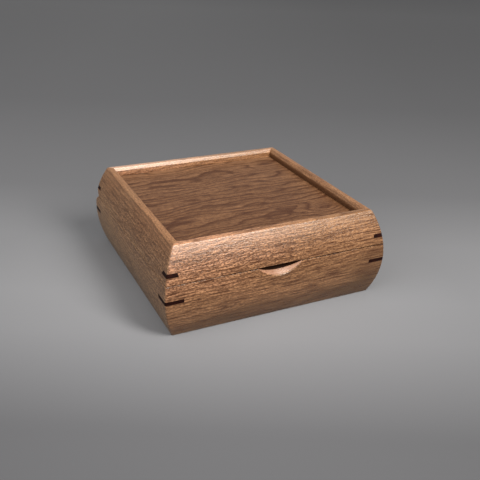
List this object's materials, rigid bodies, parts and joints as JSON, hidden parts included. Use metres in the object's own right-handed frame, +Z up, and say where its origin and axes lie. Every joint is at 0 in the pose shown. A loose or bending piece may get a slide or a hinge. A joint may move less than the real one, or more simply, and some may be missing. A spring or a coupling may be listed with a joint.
{
  "type": "hinged keepsake box",
  "caption": "Square wooden keepsake box with bowed mitred walls, dark corner splines, a finger scoop and a hinged lid with a sunk panel",
  "frame": {"origin": "middle of the box on the surface it stands on", "axes": "+Z up, +X to the right as seen from the front, the front and its finger scoop towards -Y, the hinges towards +Y"},
  "size_m": [0.2, 0.2, 0.078],
  "materials": {
    "frame_walnut": "oiled satin",
    "panel_walnut": "oiled satin",
    "spline_wood": "oiled satin",
    "hinge_brass": "satin",
    "fixing_brass": "satin",
    "felt": "matte"
  },
  "bodies": {
    "base": {"base_front_wall": "frame_walnut", "base_right_wall": "frame_walnut", "base_back_wall": "frame_walnut", "base_left_wall": "frame_walnut", "bottom_panel": "panel_walnut", "floor_liner": "felt", "base_spline_front_left": "spline_wood", "base_spline_front_right": "spline_wood", "base_spline_back_right": "spline_wood", "base_spline_back_left": "spline_wood", "left_hinge_base_leaf": "hinge_brass", "left_hinge_pin": "fixing_brass", "left_hinge_base_screws": "fixing_brass", "right_hinge_base_leaf": "hinge_brass", "right_hinge_pin": "fixing_brass", "right_hinge_base_screws": "fixing_brass"},
    "lid": {"lid_front_rail": "frame_walnut", "lid_right_rail": "frame_walnut", "lid_back_rail": "frame_walnut", "lid_left_rail": "frame_walnut", "lid_panel": "panel_walnut", "lid_spline_front_left": "spline_wood", "lid_spline_front_right": "spline_wood", "lid_spline_back_right": "spline_wood", "lid_spline_back_left": "spline_wood", "left_hinge_lid_leaf": "hinge_brass", "left_hinge_lid_screws": "fixing_brass", "right_hinge_lid_leaf": "hinge_brass", "right_hinge_lid_screws": "fixing_brass"}
  },
  "joints": [
    {"name": "lid_hinge", "type": "hinge", "parent": "base", "child": "lid", "pos_m": [0, 0.09399, 0.0489], "axis": [-1, 0, 0], "range_deg": [0, 100]}
  ]
}
